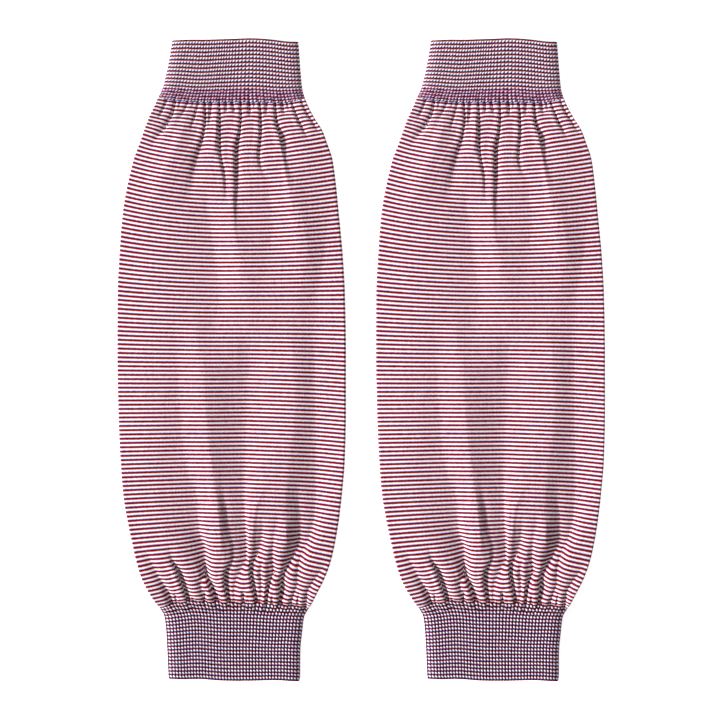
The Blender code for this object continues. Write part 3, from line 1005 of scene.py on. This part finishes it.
# One stripe from its top down: white, a lavender and navy upper edge, a burgundy core, a red
# lower edge that pales to white
STRIPE_STOPS = (
    (0.00, "#fcffff"),
    (0.11, "#e8f6fc"),
    (0.19, "#b4c4ea"),
    (0.27, "#7058a4"),
    (0.35, "#500030"),
    (0.50, "#68000a"),
    (0.625, "#a00010"),
    (0.71, "#b42a2e"),
    (0.79, "#e09088"),
    (0.88, "#fff0e8"),
    (1.00, "#fcffff"),
)
# How far a stripe's edges wander and step at each stitch, as shares of the stripe, how many
# courses make a stripe, and how bright the wales are on the whole and how much they differ
STRIPE_WANDER = 0.16
STRIPE_STEP = 0.10
STRIPE_COURSES = 3.0
WALE_TONE = 0.97
WALE_STREAKS = 0.30


def striped_jersey():
    """Fine single jersey of cotton yarn, knitted in stripes: matt and slightly fuzzy, the edges of
    its dark rows uneven with the stitches, its wales a little lighter and darker by turns."""
    material, tree = new_material("cotton_jersey_knitted_in_fine_stripes", COTTON)
    wale, row = knit_places(tree)
    leg = add(tree, "Math", wale, 0.5, operation="PINGPONG")
    noise = unevenness(tree, wale, row, 0.9, 1.7)
    wander = add(tree, "Math", noise, STRIPE_WANDER, operation="MULTIPLY")
    stitched = add(tree, "Math", leg, STRIPE_STEP, row, operation="MULTIPLY_ADD")
    shifted = add(tree, "Math", stitched, wander, operation="ADD")
    phase = add(tree, "Math", shifted, operation="FRACT")
    colour = add(tree, "ValToRGB", phase, stops=STRIPE_STOPS)
    noise = unevenness(tree, wale, row, 0.9, 0.025)
    streaks = add(tree, "Math", noise, WALE_STREAKS, WALE_TONE, operation="MULTIPLY_ADD")
    toned = {FACTOR: 1.0, FIRST: colour, SECOND: streaks}
    colour = add(tree, "Mix", others=toned, data_type="RGBA", blend_type="MULTIPLY")
    course = add(tree, "Math", row, STRIPE_COURSES, operation="MULTIPLY")
    course = add(tree, "Math", leg, 0.5, course, operation="MULTIPLY_ADD")
    course = add(tree, "Math", course, 0.5, operation="PINGPONG")
    stitches = add(tree, "Math", course, leg, operation="ADD")
    knit_surface(tree, colour, stitches, bump_mm=0.10)
    return material


# The cloth of a cuff: how far a row climbs over one rib, which rows are the denser ones beside the
# seam, where the painted shade of a groove starts and is whole, counted from the middle of a rib,
# and the colours of a row from its top down, on the ribs and, with painted shade, in the grooves,
# of plain and of denser rows
RibCloth = namedtuple("RibCloth", "slant dense_rows groove plain dense")
# How far the rows wander, and how much more the denser ones do, in rows
ROW_WANDER = 0.22
DENSE_WANDER = 0.35


def rib_knit(name, cloth):
    """1 by 1 rib of the same yarns: each row a dark and a white stitch that lean on every rib,
    painted shade in the grooves between the ribs, and a band of denser, redder rows beside the seam."""
    material, tree = new_material(name, COTTON)
    rib, row = knit_places(tree)
    turn = add(tree, "Math", rib, operation="FRACT")
    after = add(tree, "Math", row, cloth.dense_rows[0], operation="GREATER_THAN")
    before = add(tree, "Math", row, cloth.dense_rows[1], operation="LESS_THAN")
    dense = add(tree, "Math", after, before, operation="MULTIPLY")
    uneven = add(tree, "Math", dense, DENSE_WANDER, ROW_WANDER, operation="MULTIPLY_ADD")
    noise = unevenness(tree, rib, row, 0.9, 0.9)
    wander = add(tree, "Math", noise, uneven, operation="MULTIPLY")
    shifted = add(tree, "Math", row, wander, operation="ADD")
    lean = add(tree, "Math", turn, cloth.slant, shifted, operation="MULTIPLY_ADD")
    centred = add(tree, "Math", lean, cloth.slant / 2, operation="SUBTRACT")
    phase = add(tree, "Math", centred, operation="FRACT")
    sideways = add(tree, "Math", turn, 0.5, operation="SUBTRACT")
    from_middle = add(tree, "Math", sideways, operation="ABSOLUTE")
    # Painted shade in the grooves: the groove colours take over away from a rib's middle
    edges = (*cloth.groove, 0.0, 1.0)
    groove = add(tree, "MapRange", from_middle, *edges, interpolation_type="SMOOTHSTEP")
    looks = {FACTOR: dense}
    for socket, (on_ribs, shaded_in_grooves) in ((FIRST, cloth.plain), (SECOND, cloth.dense)):
        ridge = add(tree, "ValToRGB", phase, stops=on_ribs)
        shaded_gap = add(tree, "ValToRGB", phase, stops=shaded_in_grooves)
        both = {FACTOR: groove, FIRST: ridge, SECOND: shaded_gap}
        looks[socket] = add(tree, "Mix", others=both, data_type="RGBA")
    colour = add(tree, "Mix", others=looks, data_type="RGBA")
    stitch = add(tree, "Math", lean, 4 * math.pi, operation="MULTIPLY")
    stitches = add(tree, "Math", stitch, operation="SINE")
    knit_surface(tree, colour, stitches, bump_mm=0.1)
    return material


# The upper cuff's rows on its ribs: white, lavender and navy, nearly black, red
UPPER_STOPS = (
    (0.00, "#ffffff"),
    (0.08, "#f0f6fc"),
    (0.17, "#b0b8dc"),
    (0.26, "#544884"),
    (0.35, "#200434"),
    (0.46, "#280010"),
    (0.56, "#440008"),
    (0.66, "#800c14"),
    (0.75, "#cc5050"),
    (0.84, "#f8d0c8"),
    (0.90, "#ffffff"),
    (1.00, "#ffffff"),
)
# In its grooves, in painted shade: the same colours, closer together, the whites greyed
UPPER_SHADED_GROOVE_STOPS = (
    (0.00, "#c8d4dc"),
    (0.12, "#949cc4"),
    (0.23, "#545090"),
    (0.34, "#401c50"),
    (0.46, "#580828"),
    (0.56, "#80141f"),
    (0.66, "#b4343c"),
    (0.76, "#d07870"),
    (0.86, "#d4b4b0"),
    (1.00, "#c8d4dc"),
)
# Its denser rows, on the ribs and, with painted shade, in the grooves: bluer, redder and darker
UPPER_DENSE_STOPS = (
    (0.00, "#ecf4ff"),
    (0.15, "#b0b8fc"),
    (0.30, "#44306c"),
    (0.45, "#240014"),
    (0.60, "#780408"),
    (0.72, "#cc4448"),
    (0.86, "#e8b0b8"),
    (1.00, "#ecf4ff"),
)
# Its denser rows in the grooves, in painted shade
UPPER_DENSE_SHADED_GROOVE_STOPS = (
    (0.00, "#886890"),
    (0.20, "#403060"),
    (0.40, "#080008"),
    (0.58, "#600008"),
    (0.72, "#b83438"),
    (0.86, "#a86c78"),
    (1.00, "#886890"),
)
# The lower cuff's rows on its ribs: white, blue, purple and crimson
LOWER_STOPS = (
    (0.00, "#ffffff"),
    (0.12, "#e0f0ff"),
    (0.23, "#949ce0"),
    (0.34, "#4c3c94"),
    (0.45, "#480858"),
    (0.57, "#780028"),
    (0.67, "#bc2040"),
    (0.76, "#ec7474"),
    (0.84, "#ffe4e0"),
    (0.91, "#ffffff"),
    (1.00, "#ffffff"),
)
# In its grooves: painted shade, nearly black under a grey edge
LOWER_SHADED_GROOVE_STOPS = (
    (0.00, "#787480"),
    (0.10, "#3c3c58"),
    (0.20, "#040820"),
    (0.32, "#000004"),
    (0.54, "#040000"),
    (0.66, "#380408"),
    (0.78, "#781c14"),
    (0.89, "#8c6058"),
    (1.00, "#787480"),
)
# Its denser rows, on the ribs and, with painted shade, in the grooves
LOWER_DENSE_STOPS = (
    (0.00, "#ffffff"),
    (0.15, "#c8d4ff"),
    (0.30, "#302864"),
    (0.45, "#080008"),
    (0.60, "#50000c"),
    (0.72, "#bc3844"),
    (0.86, "#f8bcc0"),
    (1.00, "#ffffff"),
)
# Its denser rows in the grooves, in painted shade: nearly black
LOWER_DENSE_SHADED_GROOVE_STOPS = (
    (0.00, "#847084"),
    (0.20, "#302848"),
    (0.40, "#000000"),
    (0.58, "#280004"),
    (0.72, "#842024"),
    (0.86, "#986068"),
    (1.00, "#847084"),
)
UPPER_CLOTH = RibCloth(
    slant=0.32,
    dense_rows=(13.05, 99),
    groove=(0.17, 0.42),
    plain=(UPPER_STOPS, UPPER_SHADED_GROOVE_STOPS),
    dense=(UPPER_DENSE_STOPS, UPPER_DENSE_SHADED_GROOVE_STOPS),
)
LOWER_CLOTH = RibCloth(
    slant=-0.32,
    dense_rows=(-9, 3.0),
    groove=(0.17, 0.38),
    plain=(LOWER_STOPS, LOWER_SHADED_GROOVE_STOPS),
    dense=(LOWER_DENSE_STOPS, LOWER_DENSE_SHADED_GROOVE_STOPS),
)


def link(thing):
    """Puts an object in the scene and gives it back."""
    bpy.context.scene.collection.objects.link(thing)
    return thing


# A piece of cloth: the part of a sleeve and the knit that name it, its material's slot and its
# flat size, its mesh on a sleeve at zero, and its material
Piece = namedtuple("Piece", "part knit slot flat mesh material")


def dress(side, piece, offset):
    """One piece of cloth at its sleeve's place, standing for its node."""
    name = f"{side}_{piece.part}_{piece.knit}"
    mesh = piece.mesh.copy()
    mesh.name = name
    corners = np.empty(len(mesh.vertices) * 3)
    mesh.vertices.foreach_get("co", corners)
    corners = corners.reshape(-1, 3)
    corners[:, 0] += offset
    mesh.vertices.foreach_set("co", corners.ravel())
    mesh.materials.append(piece.material)
    cloth = link(bpy.data.objects.new(name, mesh))
    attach(cloth, "root")
    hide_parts(f"{side}_{piece.part}")


def sleeves():
    """Both sleeves, each at the middle of its own nodes."""
    upper_rib = rib_knit("cotton_rib_upper", UPPER_CLOTH)
    lower_rib = rib_knit("cotton_rib_lower", LOWER_CLOTH)
    upper_cuff = cuff_mesh("upper_cuff", UPPER_END, UPPER_SEAM, UPPER_RIB, UPPER_RIBS)
    lower_cuff = cuff_mesh("lower_cuff", LOWER_END, LOWER_SEAM, LOWER_RIB, LOWER_RIBS)
    pieces = (
        Piece("body", "jersey", "striped_jersey", BODY_FLAT, body_mesh(), striped_jersey()),
        Piece("upper_cuff", "rib", "rib_knit", UPPER_CUFF_FLAT, upper_cuff, upper_rib),
        Piece("lower_cuff", "rib", "rib_knit", LOWER_CUFF_FLAT, lower_cuff, lower_rib),
    )
    for side in ("left", "right"):
        low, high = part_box(f"{side}_body")
        for piece in pieces:
            dress(side, piece, (low[0] + high[0]) / 2)


# Matt white paper that glows a little, as on a light table, so that it stays white in any light
PAPER = {
    "Base Color": linear("#fcfcfc"),
    "Roughness": 1.0,
    "Specular IOR Level": 0.0,
    "Emission Color": (1, 1, 1, 1),
    "Emission Strength": 0.72,
}


def floor():
    """A plain pale floor."""
    bm = bmesh.new()
    bmesh.ops.create_grid(bm, x_segments=1, y_segments=1, size=3.0)
    mesh = bpy.data.meshes.new("floor")
    bm.to_mesh(mesh)
    bm.free()
    mesh.materials.append(new_material("white_paper_backdrop", PAPER)[0])
    link(bpy.data.objects.new("floor", mesh))


def camera():
    """Straight down over the middle of the pair, from far away. The frame's width is what the
    photograph shows across at the height of the cuffs."""
    frame_width = 0.504
    frame_middle = -0.0007
    cuff_height = 4.5 * MM
    distance = 2.4
    data = bpy.data.cameras.new("camera")
    data.sensor_width = 36
    data.lens = data.sensor_width * distance / frame_width
    thing = link(bpy.data.objects.new("camera", data))
    thing.location = (frame_middle, 0, distance + cuff_height)
    bpy.context.scene.camera = thing


def facing_middle(name, kind, location):
    """A light at a place, turned to face the middle of the pair."""
    data = bpy.data.lights.new(name, kind)
    thing = link(bpy.data.objects.new(name, data))
    thing.location = location
    x, y, z = location
    thing.rotation_euler = (math.atan2(math.hypot(x, y), z), 0, math.atan2(x, -y))
    return data


def lights():
    """A bright white room, a soft light low from the left that shows the folds, and a wide one over
    the upper end."""
    world = bpy.data.worlds.new("studio")
    world.use_nodes = True
    room = world.node_tree.nodes["Background"].inputs
    room["Color"].default_value = (1, 1, 1, 1)
    room["Strength"].default_value = 0.235
    bpy.context.scene.world = world
    key = facing_middle("key", "SUN", (-2.3, -0.2, 1.0))
    key.energy = 6.2
    key.angle = math.radians(14)
    wide = facing_middle("wide", "AREA", (0, 0.75, 1.0))
    wide.size = 0.9
    wide.energy = 2.4
    bpy.context.scene.view_settings.view_transform = "Standard"


camera()
sleeves()
floor()
lights()
